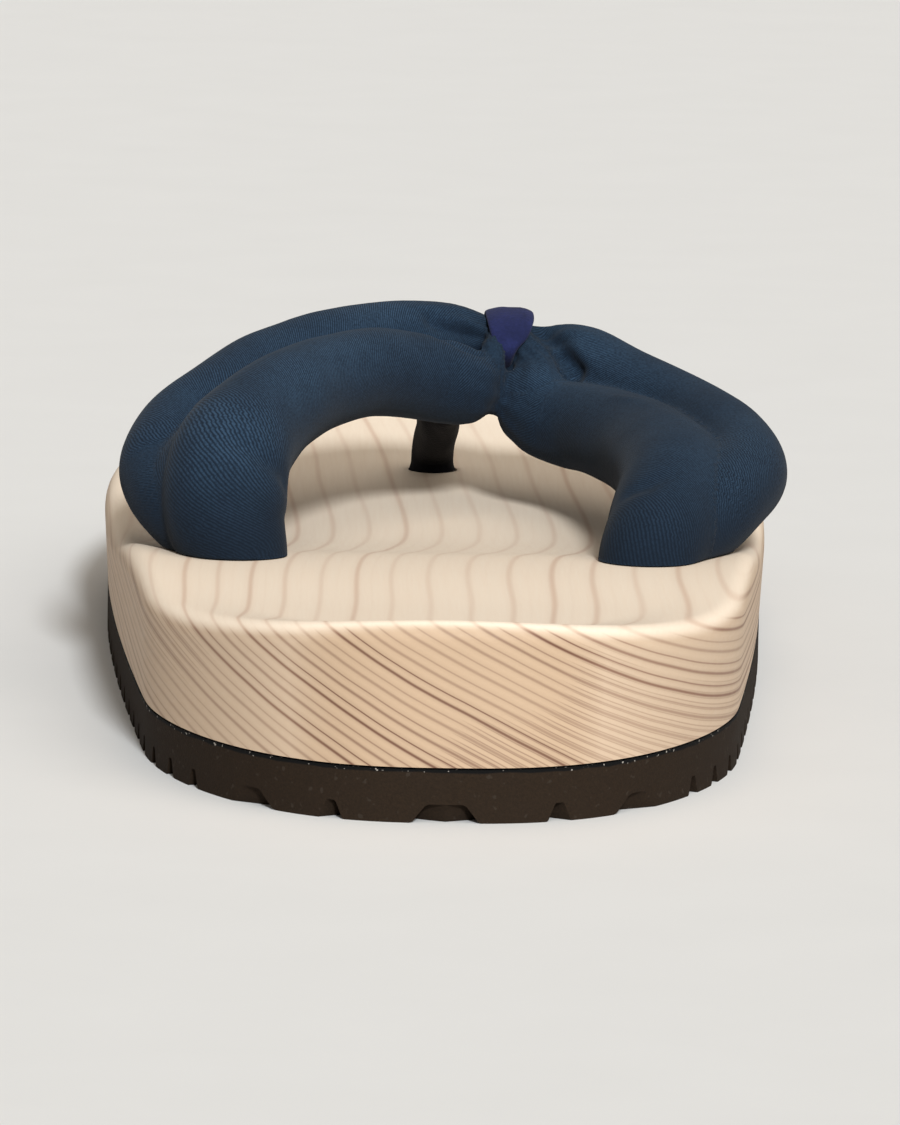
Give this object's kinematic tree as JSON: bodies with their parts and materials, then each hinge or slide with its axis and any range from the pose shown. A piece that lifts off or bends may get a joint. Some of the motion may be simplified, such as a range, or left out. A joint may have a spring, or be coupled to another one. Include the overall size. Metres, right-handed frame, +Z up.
{
  "type": "geta sandal",
  "caption": "Flat-bodied wooden geta sandal: a carved pale wood base on a rippled rubber outsole, with a padded twin-roll cloth strap pinched by a toe thong.",
  "frame": {"origin": "on the ground, under the middle of the base's length and width", "axes": "+Y from heel to toe, +Z up, +X to the right seen from behind the heel"},
  "size_m": [0.1092, 0.26, 0.0559],
  "materials": {
    "wood": "bare, planed and sanded softwood with fine growth rings",
    "outsole_rubber": "matt dark brown foam rubber, lightly speckled",
    "strap_cloth": "matt indigo cotton twill over soft padding",
    "thong_cloth": "matt violet-navy cotton",
    "cord": "matt dark twisted cord"
  },
  "bodies": {
    "root": {"base": "wood", "outsole": "outsole_rubber", "strap": "strap_cloth", "toe_thong": "thong_cloth", "knot_left": "cord", "knot_right": "cord", "knot_front": "cord"}
  },
  "joints": []
}
